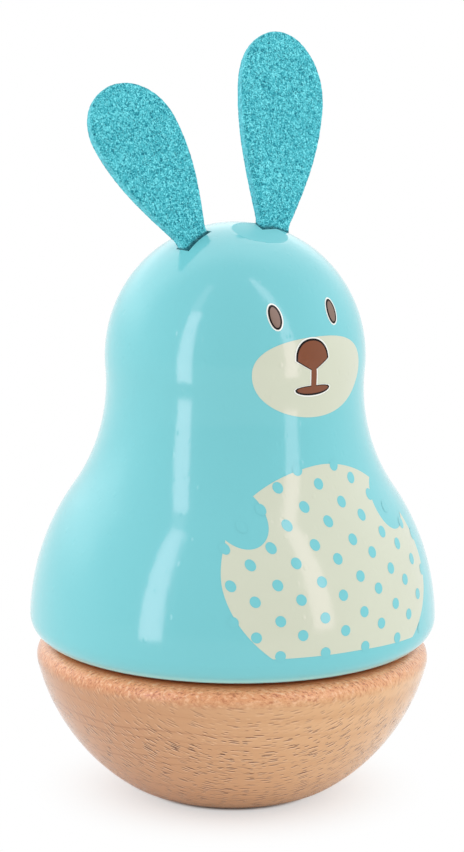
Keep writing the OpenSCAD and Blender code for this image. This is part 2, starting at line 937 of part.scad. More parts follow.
// Brass cylinder with its pins: the order is a plain run of steps, not a tune
module pin_cylinder() {
    steps = 30;
    color(brass) {
        difference() {
            along_x(drum_x, 0, axis_z)
                cylinder(r = drum_r, h = drum_l);
            along_x(drum_x - 1, 0, axis_z)
                cylinder(r = axle_r + fit, h = drum_l + 2);
        }
        for (k = [0:steps - 1])
            for (voice = [0:(k % 3 == 0 ? 2 : k % 2)])
                let (note = (7 * k + 5 * floor(k / 4) + 6 * voice) % notes)
                    translate([note_x(note), 0, axis_z])
                        rotate([360 * (k + 0.5) / steps, 0, 0])
                            translate([0, 0, drum_r - 0.3])
                                cylinder(r = pin_r, h = pin_h + 0.3, $fn = 16);
    }
}

module cylinder_axle() {
    color(steel)
        along_x(axle_x, 0, axis_z)
            cylinder(r = axle_r, h = axle_end_x - axle_x);
}

module drive_pinion() {
    color(steel)
        along_x(crown_r - crown_face / 2, 0, axis_z)
            gear(crown_module, pinion_teeth, leaf_share, crown_face, axle_r + fit, 180 / pinion_teeth);
}

module cylinder_gear() {
    color(brass)
        along_x(gear_x, 0, axis_z)
            gear(governor_module, cylinder_teeth, wheel_share, gear_t, axle_r + fit, 90 - governor_dip);
}

// Compound gear on the stud: the pinion meets the cylinder's gear, the worm wheel meets the worm
module governor_gear() {
    facing = 270 - governor_dip;
    wheel_add = worm_depth - 0.05;
    color(brass) {
        along_x(gear_x, governor_y, governor_z)
            gear(governor_module, governor_pinion_teeth, leaf_share, worm_wheel_x - gear_x,
                stud_r + run, facing + 180 / governor_pinion_teeth);
        along_x(worm_wheel_x, governor_y, governor_z)
            worm_wheel(wheel_add);
    }
}

module worm_wheel(add) {
    pitch_a = 360 / worm_wheel_teeth;
    root_r = worm_wheel_r - worm_depth - 0.12;
    tip_r = worm_wheel_r + add;
    root_a = 0.23 * pitch_a;
    tip_a = 0.09 * pitch_a;
    difference() {
        linear_extrude(worm_wheel_t)
            rotate(90 + pitch_a / 2)
                polygon([
                    for (i = [0:worm_wheel_teeth - 1], k = [-2, -1, 1, 2])
                        let (a = i * pitch_a + (abs(k) == 2 ? sign(k) * root_a : sign(k) * tip_a))
                            (abs(k) == 2 ? root_r : tip_r) * [cos(a), sin(a)]
                ]);
        translate([0, 0, -1])
            cylinder(r = stud_r + run, h = worm_wheel_t + 2);
    }
}

// Round thread swept up the worm's axis: rings of points whose centre circles the axis once a turn
module worm_thread() {
    sides = 12;
    rings = 12 * worm_turns;
    start_a = -90 - 180 * worm_turns;
    points = [
        for (i = [0:rings], k = [0:sides - 1]) let (
            turn = start_a + 360 * worm_turns * i / rings,
            a = turn + 360 * k / sides
        ) [
            worm_depth * cos(turn) + worm_r * cos(a),
            worm_depth * sin(turn) + worm_r * sin(a),
            worm_l * i / rings
        ]
    ];
    walls = [
        for (i = [0:rings - 1], k = [0:sides - 1], half = [0, 1]) let (
            low = i * sides + k,
            next = i * sides + (k + 1) % sides
        ) half == 0 ? [low, low + sides, next] : [next, low + sides, next + sides]
    ];
    bottom = [[for (k = [0:sides - 1]) k]];
    top = [[for (k = [sides - 1:-1:0]) rings * sides + k]];
    polyhedron(points, concat(bottom, walls, top));
}

// Upright spindle with a single-start right-hand worm, turned on two pivots
module worm_spindle() {
    worm_low_z = governor_z - worm_l / 2;
    worm_top_z = governor_z + worm_l / 2;
    root_l = 0.2;
    color(steel)
        translate([worm_x, worm_y, 0]) {
            translate([0, 0, worm_low_z])
                worm_thread();
            translate([0, 0, foot_z + shim])
                cylinder(r = spindle_r, h = worm_low_z - foot_z - shim + root_l);
            translate([0, 0, foot_z - pivot_l])
                cylinder(r = pivot_r, h = pivot_l + shim);
            translate([0, 0, worm_top_z - root_l])
                cylinder(r = spindle_r, h = arm_z - shim - worm_top_z + root_l);
            translate([0, 0, arm_z - shim])
                cylinder(r = pivot_r, h = pivot_l + shim);
        }
}

// Air-brake fan: two thin vanes on a hub
module fan() {
    hub_r = 1.1;
    color(nylon)
        translate([worm_x, worm_y, fan_z])
            difference() {
                union() {
                    cylinder(r = hub_r, h = fan_h);
                    translate([-vane_t / 2, -fan_r, 0])
                        cube([vane_t, 2 * fan_r, fan_h]);
                }
                translate([0, 0, -1])
                    cylinder(r = spindle_r + fit, h = fan_h + 2);
            }
}

base_bowl();
glide_ring();
key_insert();
jam_nut();
winding_arbor();
crown_wheel();
click_plate();
arbor_clip();
body();
left_ear();
right_ear();
sound_board();
board_screws();
bedplate();
bedplate_screws();
arbor_bush();
spring_barrel();
barrel_rivets();
mainspring();
comb();
comb_screws();
end_bracket();
bracket_screws();
governor_stud();
governor_frame();
governor_screws();
pin_cylinder();
cylinder_axle();
drive_pinion();
cylinder_gear();
governor_gear();
worm_spindle();
fan();
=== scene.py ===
import math

import bmesh
import bpy
from mathutils import Matrix, Vector, noise


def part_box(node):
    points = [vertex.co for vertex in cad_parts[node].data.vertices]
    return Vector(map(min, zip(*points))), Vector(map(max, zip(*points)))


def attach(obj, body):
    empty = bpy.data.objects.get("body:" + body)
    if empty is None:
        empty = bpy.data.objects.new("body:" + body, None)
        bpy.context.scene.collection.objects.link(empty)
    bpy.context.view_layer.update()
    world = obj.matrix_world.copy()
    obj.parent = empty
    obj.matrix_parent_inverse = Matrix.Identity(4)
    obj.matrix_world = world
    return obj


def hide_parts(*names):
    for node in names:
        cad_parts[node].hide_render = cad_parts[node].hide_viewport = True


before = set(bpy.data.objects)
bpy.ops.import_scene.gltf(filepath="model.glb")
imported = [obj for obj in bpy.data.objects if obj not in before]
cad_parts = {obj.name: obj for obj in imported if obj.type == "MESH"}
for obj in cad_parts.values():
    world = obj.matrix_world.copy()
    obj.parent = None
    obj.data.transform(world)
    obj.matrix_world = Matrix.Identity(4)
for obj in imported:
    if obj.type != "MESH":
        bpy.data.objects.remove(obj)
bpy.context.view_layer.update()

# Base bowl
# Turned from one block of beech with its grain level, a flat foot and a rounded rim, and lacquered clear.
# Its top is recessed for the glide ring, the jam nut and the threaded insert: the bowl is the winding key.
MM = 0.001
rim_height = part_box("base_bowl")[1].z
bowl_radius = 44.6 * MM
foot_radius = 13.8 * MM
foot_round = 20 * MM
rim_round = 3.8 * MM
ring_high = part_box("glide_ring")[1]
ring_radius = ring_high.x
ring_width = 9 * MM
ring_bore = ring_radius - ring_width
ring_seat = 2 * MM
insert_low, insert_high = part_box("key_insert")
insert_shank = 4 * MM
flange_thickness = 1.4 * MM
flange_low = insert_high.z - flange_thickness
seat_fit = 0.04 * MM
LATHE_STEPS = 200
CREASE = 35
WELD = 0.001 * MM


def line_to(bm, point, radius, height):
    """Carries a turning profile on to another radius and height."""
    end = bm.verts.new((radius, 0, height))
    bm.edges.new((point, end))
    return end


def arc_on(bm, point, centre_radius, centre_height, angle, steps):
    """Carries a turning profile on round a centre; a positive angle turns from outwards to upwards."""
    swept = bmesh.ops.spin(
        bm, geom=[point], cent=(centre_radius, 0, centre_height), axis=(0, -1, 0), angle=angle, steps=steps
    )
    return next(part for part in swept["geom_last"] if isinstance(part, bmesh.types.BMVert))


def stand(bm, name, crease=CREASE):
    """Makes an object of a mesh, smooth but for edges sharper than the crease angle."""
    mesh = bpy.data.meshes.new(name)
    bm.to_mesh(mesh)
    bm.free()
    mesh.shade_smooth()
    mesh.set_sharp_from_angle(angle=math.radians(crease))
    piece = bpy.data.objects.new(name, mesh)
    bpy.context.scene.collection.objects.link(piece)
    return piece


def turned(bm, name):
    """Turns a profile once round the upright axis."""
    bmesh.ops.spin(
        bm, geom=bm.verts[:] + bm.edges[:], cent=(0, 0, 0), axis=(0, 0, 1),
        angle=2 * math.pi, steps=LATHE_STEPS, use_merge=True,
    )
    bmesh.ops.remove_doubles(bm, verts=bm.verts[:], dist=WELD)
    bmesh.ops.recalc_face_normals(bm, faces=bm.faces[:])
    return stand(bm, name)


bowl_middle = foot_round + math.sqrt((bowl_radius - foot_round) ** 2 - foot_radius**2)
foot_angle = math.atan2(foot_round - bowl_middle, foot_radius)
rim_angle = math.asin((rim_height - rim_round - bowl_middle) / (bowl_radius - rim_round))
rim_centre = (bowl_radius - rim_round) * math.cos(rim_angle)
bm = bmesh.new()
point = bm.verts.new((0, 0, 0))
point = line_to(bm, point, foot_radius, 0)
point = arc_on(bm, point, foot_radius, foot_round, math.pi / 2 + foot_angle, steps=10)
point = arc_on(bm, point, 0, bowl_middle, rim_angle - foot_angle, steps=44)
point = arc_on(bm, point, rim_centre, rim_height - rim_round, math.pi / 2 - rim_angle, steps=16)
for radius, height in (
    (ring_radius + seat_fit, rim_height),
    (ring_radius + seat_fit, rim_height - ring_seat),
    (ring_bore - seat_fit, rim_height - ring_seat),
    (ring_bore - seat_fit, rim_height),
    (insert_high.x + seat_fit, rim_height),
    (insert_high.x + seat_fit, flange_low),
    (insert_shank + seat_fit, flange_low),
    (insert_shank + seat_fit, insert_low.z),
    (0, insert_low.z),
):
    point = line_to(bm, point, radius, height)
bowl = turned(bm, "beech_bowl")


def add(material, kind, inputs=None, **settings):
    """Adds a shader node: an input is a plain value or another node's output."""
    node = material.node_tree.nodes.new(kind)
    for name, value in settings.items():
        setattr(node, name, value)
    for name, value in (inputs or {}).items():
        if isinstance(value, bpy.types.NodeSocket):
            material.node_tree.links.new(value, node.inputs[name])
        else:
            node.inputs[name].default_value = value
    return node


def colour(red, green, blue):
    """A colour as an eye reads it on a screen, turned into light."""
    light = [c / 255 / 12.92 if c <= 10 else ((c / 255 + 0.055) / 1.055) ** 2.4 for c in (red, green, blue)]
    return (*light, 1)


def socket_label(key):
    """A shader socket's label, from its name in small letters."""
    return key.replace("_", " ").title().replace("Ior", "IOR")


def new_finish(name, **values):
    """A material with one surface shader, and its even values set on the shader itself."""
    material = bpy.data.materials.new(name)
    material.use_nodes = True
    shader = material.node_tree.nodes["Principled BSDF"]
    for key, value in values.items():
        shader.inputs[socket_label(key)].default_value = value
    return material, shader


def drive(material, shader, **outputs):
    """Links pattern outputs to the shader's sockets."""
    for key, output in outputs.items():
        material.node_tree.links.new(output, shader.inputs[socket_label(key)])


def lie(material, degrees=0):
    """The object's own coordinates, turned about the upright axis so that X runs along the grain."""
    place = add(material, "ShaderNodeTexCoord").outputs["Object"]
    turned_by = (0, 0, math.radians(degrees))
    return add(material, "ShaderNodeMapping", {"Vector": place, "Rotation": turned_by}).outputs["Vector"]


def measure(material, place, axis):
    """How far a place lies along X, Y or Z."""
    return add(material, "ShaderNodeSeparateXYZ", {"Vector": place}).outputs[axis]


def shifted(material, place, way):
    """A place moved by a vector, plain or patterned."""
    return add(material, "ShaderNodeVectorMath", {0: place, 1: way}, operation="ADD").outputs["Vector"]


def stretched(material, place, scale):
    """A place counted in a pattern's repeats; scale is the repeats per metre along each axis."""
    return add(material, "ShaderNodeMapping", {"Vector": place, "Scale": scale}).outputs["Vector"]


def mottle(material, place, scale, detail=2, roughness=0.5):
    """Soft random pattern."""
    repeats = stretched(material, place, scale)
    return add(
        material, "ShaderNodeTexNoise",
        {"Vector": repeats, "Scale": 1, "Detail": detail, "Roughness": roughness},
    ).outputs[0]


def between(material, value, low, high, to_low=0, to_high=1):
    """Eases a pattern from one level to another between two of its values."""
    return add(
        material, "ShaderNodeMapRange",
        {"Value": value, "From Min": low, "From Max": high, "To Min": to_low, "To Max": to_high},
        interpolation_type="SMOOTHSTEP",
    ).outputs["Result"]


def specks(material, place, scale, small, large):
    """Scattered grains: full within the small distance of each random point, gone at the large one."""
    repeats = stretched(material, place, scale)
    cells = add(material, "ShaderNodeTexVoronoi", {"Vector": repeats, "Scale": 1}).outputs
    chance = add(material, "ShaderNodeSeparateColor", {"Color": cells["Color"]}).outputs[0]
    return between(material, cells["Distance"], small, large, 1, 0), chance


def tint(material, share, first, second):
    """Blends from the first colour to the second; the mix node's colour sockets go by their numbers."""
    return add(material, "ShaderNodeMix", {0: share, 6: first, 7: second}, data_type="RGBA").outputs[2]


def combine(material, operation, first, second):
    """Works out a sum, a product and the like of two patterns or values."""
    return add(material, "ShaderNodeMath", {0: first, 1: second}, operation=operation).outputs[0]


def weigh(material, pattern, share):
    """A pattern made weaker or stronger by a share, plain or patterned."""
    return combine(material, "MULTIPLY", pattern, share)


def relief(material, height, depth):
    """Surface relief from a pattern, with its depth in metres."""
    return add(
        material, "ShaderNodeBump", {"Height": height, "Strength": 1, "Distance": depth}
    ).outputs["Normal"]


# The wood is layered, with fine rings and short open pores, each with a painted highlight on its lower lip.
# Painted shade browns it towards the left as seen. The rim's upper round carries a painted warm shade,
# and painted shade darkens it in the joint. It is crimped where the tool met the end of the grain,
# and the light crimps are painted glints, strongest at the sides.
grain_turn = 36
grain_sway = 5 * MM
leaf_slant = (math.radians(31), 0, math.radians(-7))
lip_highlight_shift = (0, -0.2 * MM, 0.12 * MM)
groove_depth = 0.13 * MM
light_layer = colour(229, 183, 135)
dark_layer = colour(219, 171, 122)
painted_left_shade = colour(188, 137, 98)
growth_ring = colour(150, 96, 64)
open_pore = colour(108, 58, 32)
painted_lip_highlight = colour(246, 208, 170)
rim_warm_shade = colour(240, 160, 110)
crimp_glint = colour(255, 214, 176)
dark_crimp = colour(176, 100, 64)
rim_shade = colour(214, 112, 64)

beech, shader = new_finish(
    "beech", roughness=0.5, specular_ior_level=0.1, coat_weight=1, coat_roughness=0.1
)
grain = lie(beech, grain_turn)
along = measure(beech, grain, "X")
wood_height = measure(beech, grain, "Z")
sway = weigh(beech, mottle(beech, grain, (22, 40, 40), detail=1), grain_sway)
sway = add(beech, "ShaderNodeCombineXYZ", {"Z": sway}).outputs["Vector"]
grain = shifted(beech, grain, sway)
layers = between(beech, mottle(beech, grain, (5, 45, 420), detail=3), 0.34, 0.68)
tone = tint(beech, layers, light_layer, dark_layer)
# Painted shade: the wood browns towards the left as seen.
tone = tint(beech, between(beech, along, -38 * MM, 36 * MM, 0.95, 0.12), tone, painted_left_shade)
rings = between(beech, mottle(beech, grain, (5, 10, 1500), detail=1), 0.65, 0.7)
rings = weigh(beech, rings, between(beech, along, -25 * MM, 15 * MM, 0.4, 0.12))
tone = tint(beech, rings, tone, growth_ring)


def open_grain(place):
    """Rays and pores: thin leaves in the wood, a little off upright, which the bowl cuts as short arcs."""
    place = add(beech, "ShaderNodeMapping", {"Vector": place, "Rotation": leaf_slant}).outputs["Vector"]
    long_cuts, chance = specks(beech, place, (240, 2800, 330), 0.2, 0.36)
    long_cuts = weigh(beech, long_cuts, between(beech, chance, 0.15, 0.7, 0.1, 1))
    short_cuts, chance = specks(beech, place, (440, 2800, 560), 0.18, 0.34)
    short_cuts = weigh(beech, short_cuts, between(beech, chance, 0.3, 0.8))
    return combine(beech, "MAXIMUM", long_cuts, short_cuts)


def up_to_rim(start, end, to_low=0, to_high=1):
    """Eases from one level to another between two depths under the rim."""
    return between(beech, wood_height, rim_height - start, rim_height - end, to_low, to_high)


openness = up_to_rim(15 * MM, 5 * MM, 1, 0.35)
pores = weigh(beech, open_grain(grain), openness)
# Painted highlight: a light lip under each pore, drawn from a shifted copy of the pores.
lip_highlights = weigh(beech, open_grain(shifted(beech, grain, lip_highlight_shift)), weigh(beech, openness, 0.75))
tone = tint(beech, lip_highlights, tone, painted_lip_highlight)
tone = tint(beech, weigh(beech, pores, 0.95), tone, open_pore)
# Painted warm shade on the rim's upper round: the reddish cast of light bounced in the joint.
tone = tint(beech, up_to_rim(4.6 * MM, 0.4 * MM, 0, 0.95), tone, rim_warm_shade)
aside = combine(beech, "ABSOLUTE", along, 0)
# The crimps are tool marks. The light ones are painted glints, and all are strongest at the sides where the
# highlights fall.
on_rim = weigh(beech, up_to_rim(5.6 * MM, 1.2 * MM), between(beech, aside, 2 * MM, 15 * MM, 0.75, 1))
crimps = mottle(beech, grain, (800, 2600, 1000), detail=3, roughness=0.7)
tone = tint(beech, weigh(beech, on_rim, between(beech, crimps, 0.52, 0.64, 0, 0.6)), tone, crimp_glint)
tone = tint(beech, weigh(beech, on_rim, between(beech, crimps, 0.47, 0.36, 0, 0.9)), tone, dark_crimp)
tone = tint(beech, weigh(beech, up_to_rim(0.8 * MM, 0.05 * MM), 0.75), tone, rim_shade)
crimp_relief = weigh(beech, crimps, weigh(beech, on_rim, 1.2))
grooves = relief(beech, combine(beech, "SUBTRACT", crimp_relief, pores), groove_depth)
drive(beech, shader, base_color=tone, normal=grooves, coat_normal=grooves)
bowl.data.materials.append(beech)
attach(bowl, "base")
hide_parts("base_bowl")

# Glide ring
# A flat ring stamped from wool felt, glued in the seat of the bowl's rim.
# The sound board slides on it, so its upper edges are worn round.
ring_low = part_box("glide_ring")[0].z
edge_wear = 0.5 * MM
wear_start = ring_high.z - edge_wear
wool_relief = 0.2 * MM
dark_wool = colour(92, 62, 46)
light_wool = colour(150, 108, 82)
bm = bmesh.new()
first = bm.verts.new((ring_bore, 0, ring_low))
point = line_to(bm, first, ring_radius, ring_low)
point = line_to(bm, point, ring_radius, wear_start)
point = arc_on(bm, point, ring_radius - edge_wear, wear_start, math.pi / 2, steps=5)
for share in (0.75, 0.5, 0.25):
    point = line_to(bm, point, ring_bore + share * ring_width, ring_high.z)
point = line_to(bm, point, ring_bore + edge_wear, ring_high.z)
point = arc_on(bm, point, ring_bore + edge_wear, wear_start, math.pi / 2, steps=5)
bm.edges.new((point, first))
glide = turned(bm, "felt_glide_ring")
wool, shader = new_finish("wool_felt", roughness=1, sheen_weight=0.2)
wisps = mottle(wool, lie(wool), (1500, 1700, 1600), detail=4, roughness=0.65)
drive(
    wool, shader, base_color=tint(wool, wisps, dark_wool, light_wool), normal=relief(wool, wisps, wool_relief)
)
glide.data.materials.append(wool)
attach(glide, "base")
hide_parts("glide_ring")

# Brass fittings
# The insert, bush, gears, pinned cylinder and comb's screws are turned and cut from brass rod.
# Fine tool marks streak their faces.
tool_mark = 0.002 * MM


def dress(finish, *names):
    """Gives CAD nodes a finish."""
    for name in names:
        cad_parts[name].data.materials.clear()
        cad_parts[name].data.materials.append(finish)


def metal(name, light, dark, smooth, rough, marks, depth):
    """A bare metal whose tool marks change its tone and gloss."""
    finish, shader = new_finish(name, metallic=1)
    scratches = mottle(finish, lie(finish), marks, detail=3, roughness=0.6)
    drive(
        finish, shader, base_color=tint(finish, scratches, dark, light),
        roughness=between(finish, scratches, 0.3, 0.7, smooth, rough),
        normal=relief(finish, scratches, depth),
    )
    return finish


brass = metal(
    "turned_brass", colour(226, 194, 120), colour(188, 150, 82),
    smooth=0.2, rough=0.38, marks=(2500, 400, 2500), depth=tool_mark,
)
dress(
    brass, "key_insert", "crown_wheel", "arbor_bush", "pin_cylinder", "cylinder_gear", "governor_gear",
    "comb_screws",
)

# Steel pieces
# The arbor, axle, pinion, stud and spindle are turned from bright steel.
# The barrel and the comb are cut from bright sheet. The nut, the rivets and the other screws are plated.
bright_steel = metal(
    "bright_steel", colour(208, 210, 214), colour(160, 163, 168),
    smooth=0.22, rough=0.42, marks=(900, 3000, 3000), depth=tool_mark,
)
dress(
    bright_steel, "jam_nut", "winding_arbor", "board_screws", "bedplate_screws", "spring_barrel",
    "barrel_rivets", "comb", "bracket_screws", "governor_stud", "governor_screws", "cylinder_axle",
    "drive_pinion", "worm_spindle",
)

# Springs
# The mainspring, the click plate and the arbor's clip are cut from hardened steel strip.
# The heat of tempering has blued them.
blued_steel = metal(
    "blued_steel", colour(98, 112, 146), colour(52, 60, 88),
    smooth=0.25, rough=0.45, marks=(1200, 1200, 260), depth=tool_mark,
)
dress(blued_steel, "mainspring", "click_plate", "arbor_clip")

# Die castings
# The bedplate, the end bracket and the governor's frame are cast in zinc and screwed together.
# Their skin is dull and slightly grainy.
casting_grain = 0.02 * MM
zinc = metal(
    "zinc_casting", colour(182, 184, 186), colour(136, 138, 142),
    smooth=0.5, rough=0.72, marks=(1400, 1400, 1400), depth=casting_grain,
)
dress(zinc, "bedplate", "end_bracket", "governor_frame")

# Fan
# The air brake, moulded in one piece from natural nylon.
# It is pressed on the worm's spindle.
nylon_glow = 0.5 * MM
nylon_relief = 0.01 * MM
nylon, shader = new_finish("nylon", roughness=0.5, subsurface_weight=0.15, subsurface_scale=nylon_glow)
haze = mottle(nylon, lie(nylon), (700, 700, 700))
drive(
    nylon, shader, base_color=tint(nylon, haze, colour(228, 224, 210), colour(246, 244, 236)),
    normal=relief(nylon, haze, nylon_relief),
)
dress(nylon, "fan")

# Sound board
# A disc sawn from five-ply birch, screwed into the rebate under the figure.
# It closes the chamber and carries the movement. The plies cross, so its edge shows light and dark bands.
PLIES = 5
ply_relief = 0.05 * MM
board_low, board_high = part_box("sound_board")
ply_thickness = (board_high.z - board_low.z) / PLIES


def blend(material, share, first, second):
    """Blends from one number to another; the mix node's number sockets go by their numbers too."""
    return add(material, "ShaderNodeMix", {0: share, 2: first, 3: second}, data_type="FLOAT").outputs[0]


plywood, shader = new_finish("birch_plywood", roughness=0.7)
grain = lie(plywood)
over_underside = combine(plywood, "SUBTRACT", measure(plywood, grain, "Z"), board_low.z)
ply_pairs = combine(plywood, "DIVIDE", over_underside, 2 * ply_thickness)
to_and_fro = combine(plywood, "PINGPONG", combine(plywood, "SUBTRACT", ply_pairs, 0.25), 0.5)
crossed = between(plywood, to_and_fro, 0.22, 0.28)
long_fibre = mottle(plywood, grain, (25, 700, 700), detail=3)
cross_fibre = mottle(plywood, grain, (700, 25, 700), detail=3)
fibre = blend(plywood, crossed, long_fibre, cross_fibre)
face = tint(plywood, fibre, colour(206, 178, 136), colour(234, 212, 174))
drive(
    plywood, shader, base_color=tint(plywood, crossed, face, colour(192, 156, 112)),
    normal=relief(plywood, fibre, ply_relief),
)
dress(plywood, "sound_board")

# Body
# Turned from one block of close-grained hardwood and bored from below for the movement.
# The outline is four arcs, for the lower edge, the belly, the neck and the head, under an oval crown.
body_low, body_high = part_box("body")
body_radius = 45 * MM
belly_arc = 52 * MM
belly_height = 38.9 * MM
head_radius = 28.6 * MM
head_height = 98.3 * MM
crown_rise = body_high.z - head_height
neck_arc = 41 * MM
lower_edge = 5.4 * MM
chamber_radius = 33 * MM
chamber_height = 24 * MM
chamber_bevel = 4 * MM
chamber_roof = board_high.z + chamber_height
rebate_fit = 0.2 * MM
rebate_radius = board_high.x + rebate_fit
CROWN_STEPS = 48


def joining_centre(first, first_reach, second, second_reach):
    """Point at given distances from two others, on the right of the way from the first to the second."""
    way = second - first
    span = way.length
    way = way / span
    along_way = (span**2 + first_reach**2 - second_reach**2) / (2 * span)
    aside = math.sqrt(first_reach**2 - along_way**2)
    return first + along_way * way + aside * Vector((way.y, -way.x))


belly_centre = Vector((body_radius - belly_arc, belly_height))
head_centre = Vector((0, head_height))
neck_centre = joining_centre(belly_centre, belly_arc + neck_arc, head_centre, head_radius + neck_arc)
belly_end = math.atan2(neck_centre.y - belly_centre.y, neck_centre.x - belly_centre.x)
head_start = math.atan2(neck_centre.y - head_height, neck_centre.x)
edge_turn = math.asin((body_low.z + lower_edge - belly_height) / (belly_arc - lower_edge))
edge_centre = belly_centre + (belly_arc - lower_edge) * Vector((math.cos(edge_turn), math.sin(edge_turn)))

bm = bmesh.new()
first = bm.verts.new((rebate_radius, 0, body_low.z))
point = line_to(bm, first, edge_centre.x, body_low.z)
point = arc_on(bm, point, edge_centre.x, edge_centre.y, math.pi / 2 + edge_turn, steps=14)
point = arc_on(bm, point, belly_centre.x, belly_centre.y, belly_end - edge_turn, steps=52)
point = arc_on(bm, point, neck_centre.x, neck_centre.y, head_start - belly_end, steps=46)
point = arc_on(bm, point, 0, head_height, -head_start, steps=4)
for step in range(1, CROWN_STEPS):
    rise = math.pi / 2 * step / CROWN_STEPS
    point = line_to(bm, point, head_radius * math.cos(rise), head_height + crown_rise * math.sin(rise))
line_to(bm, point, 0, head_height + crown_rise)
point = bm.verts.new((0, 0, chamber_roof))
for radius, height in (
    (chamber_radius - chamber_bevel, chamber_roof),
    (chamber_radius, chamber_roof - chamber_bevel),
    (chamber_radius, board_high.z),
    (rebate_radius, board_high.z),
):
    point = line_to(bm, point, radius, height)
bm.edges.new((point, first))
body = turned(bm, "lacquered_body")

# Ear slots and landing
# The slots are chiselled for the ears' tongues, with a little play in front.
# Beside the right one the crown is shaved to a flat landing. Both are cut before the lacquer goes on.
ear_row_turn = 6
ear_row_back = -1.2 * MM
left_across = -11.7 * MM
left_splay = -20
left_lean = -26
left_twist = 14
right_across = 8.3 * MM
right_splay = 22
right_lean = -28
tongue_width = 7.6 * MM
felt_thickness = 2.6 * MM
slot_depth = 9 * MM
slot_fit = 0.25 * MM
slot_play = 0.5 * MM
slot_size = (tongue_width + 2 * slot_fit, felt_thickness + 2 * slot_fit + slot_play, 2 * slot_depth)
landing_across = 1.6 * MM
landing_front = 6.6 * MM
landing_depth = 0.7 * MM
shaving_radius = 12 * MM
shaving_height = 5 * landing_depth
SHAVING_SEGMENTS = 96


def crown_height(across, back):
    """Height of the head's surface at a place seen from above."""
    return head_height + crown_rise * math.sqrt(1 - (across**2 + back**2) / head_radius**2)


def turn(degrees, axis):
    """A turn about one axis."""
    return Matrix.Rotation(math.radians(degrees), 4, axis)


def ear_root(across):
    """A place on the crown in the ears' row, which is turned a little against the face."""
    root = Matrix.Translation((across, ear_row_back, crown_height(across, ear_row_back)))
    return turn(-ear_row_turn, "Z") @ root


def cut_from(piece, bm):
    """Cuts a shape out of a piece."""
    cutter = stand(bm, "cutter")
    change = piece.modifiers.new("cut", "BOOLEAN")
    change.operation = "DIFFERENCE"
    change.solver = "EXACT"
    change.object = cutter
    depsgraph = bpy.context.evaluated_depsgraph_get()
    mesh = bpy.data.meshes.new_from_object(piece.evaluated_get(depsgraph))
    piece.modifiers.clear()
    uncut, piece.data = piece.data, mesh
    bpy.data.meshes.remove(uncut)
    bpy.data.objects.remove(cutter)


left_seat = ear_root(left_across) @ turn(left_splay, "Y") @ turn(left_lean, "X") @ turn(left_twist, "Z")
right_seat = ear_root(right_across) @ turn(right_splay, "Y") @ turn(right_lean, "X")
for seat in (left_seat, right_seat):
    bm = bmesh.new()
    bmesh.ops.create_cube(bm, size=1)
    bmesh.ops.scale(bm, vec=slot_size, verts=bm.verts[:])
    bmesh.ops.transform(bm, matrix=seat @ Matrix.Translation((0, -slot_play / 2, 0)), verts=bm.verts[:])
    cut_from(body, bm)

landing_rise = crown_height(landing_across, landing_front)
steepness = (crown_rise / head_radius) ** 2 / (landing_rise - head_height)
landing_seat = (
    Matrix.Translation((landing_across, -landing_front, landing_rise))
    @ turn(math.degrees(math.atan(landing_across * steepness)), "Y")
    @ turn(math.degrees(math.atan(landing_front * steepness)), "X")
    @ Matrix.Translation((0, 0, -landing_depth))
)
landing_up = landing_seat.col[2].to_3d()
bm = bmesh.new()
bmesh.ops.create_cone(
    bm, cap_ends=True, segments=SHAVING_SEGMENTS, radius1=shaving_radius, radius2=shaving_radius,
    depth=shaving_height, matrix=landing_seat @ Matrix.Translation((0, 0, shaving_height / 2)),
)
cut_from(body, bm)

# Lacquer
# Light blue gloss lacquer is sprayed on the outside, and lies a little uneven over the turning marks.
# The chamber and the flat underside stay bare. The shaved landing stays crisp, and its coat has sunk in dull.
OUTSIDE, BARE, SHAVED = range(3)
NEARLY = 0.1 * MM
DOWNWARDS = -0.99
SAME_WAY = 0.9999
coat_relief = 0.08 * MM
bare_relief = 0.04 * MM
edge_light_full = 0.5 * MM
edge_light_end = 2.2 * MM
light_blue = colour(117, 201, 209)
deep_blue = colour(113, 198, 206)
painted_edge_light_blue = colour(170, 250, 252)
bm = bmesh.new()
bm.from_mesh(body.data)
for skin in bm.faces:
    middle = skin.calc_center_median()
    bored = math.hypot(middle.x, middle.y) < rebate_radius + NEARLY and middle.z < chamber_roof + NEARLY
    under = skin.normal.z < DOWNWARDS and middle.z < body_low.z + NEARLY
    skin.material_index = BARE if bored or under else OUTSIDE
    if skin.normal.dot(landing_up) > SAME_WAY:
        skin.material_index = SHAVED
        skin.smooth = False
bm.to_mesh(body.data)
bm.free()
body.data.set_sharp_from_angle(angle=math.radians(CREASE))


def uneven_coat(material):
    """Soft ripples from turning and spraying, a fine peel and grit, and scattered dents and dust nibs."""
    place = lie(material)
    ripples = mottle(material, place, (95, 95, 60))
    peel = weigh(material, mottle(material, place, (520, 520, 520)), 0.16)
    grit = weigh(material, mottle(material, place, (1100, 1100, 800)), 0.07)
    nibs, chance = specks(material, place, (420, 420, 300), 0.06, 0.26)
    nibs = weigh(material, nibs, between(material, chance, 0.3, 0.7, -0.3, 0.3))
    surface = combine(material, "ADD", ripples, combine(material, "ADD", peel, grit))
    return relief(material, combine(material, "ADD", surface, nibs), coat_relief)


def lacquer(name, light, deep, coat=1, haze=0.11):
    """Gloss paint: an even colour under a clear, glossy coat, paled by painted light on the body's lower
    edge.
    """
    finish, shader = new_finish(
        name, roughness=0.4, specular_ior_level=0.05, coat_weight=coat, coat_roughness=haze, coat_ior=1.5
    )
    place = lie(finish)
    tone = tint(finish, mottle(finish, place, (30, 30, 30)), deep, light)
    # Painted light: the blue is paled on the body's lower edge, which lies in shade over the rim.
    edge_light = between(finish, measure(finish, place, "Z"), body_low.z + edge_light_full, body_low.z + edge_light_end, 1, 0)
    bumps = uneven_coat(finish)
    drive(finish, shader, base_color=tint(finish, edge_light, tone, painted_edge_light_blue), normal=bumps, coat_normal=bumps)
    return finish


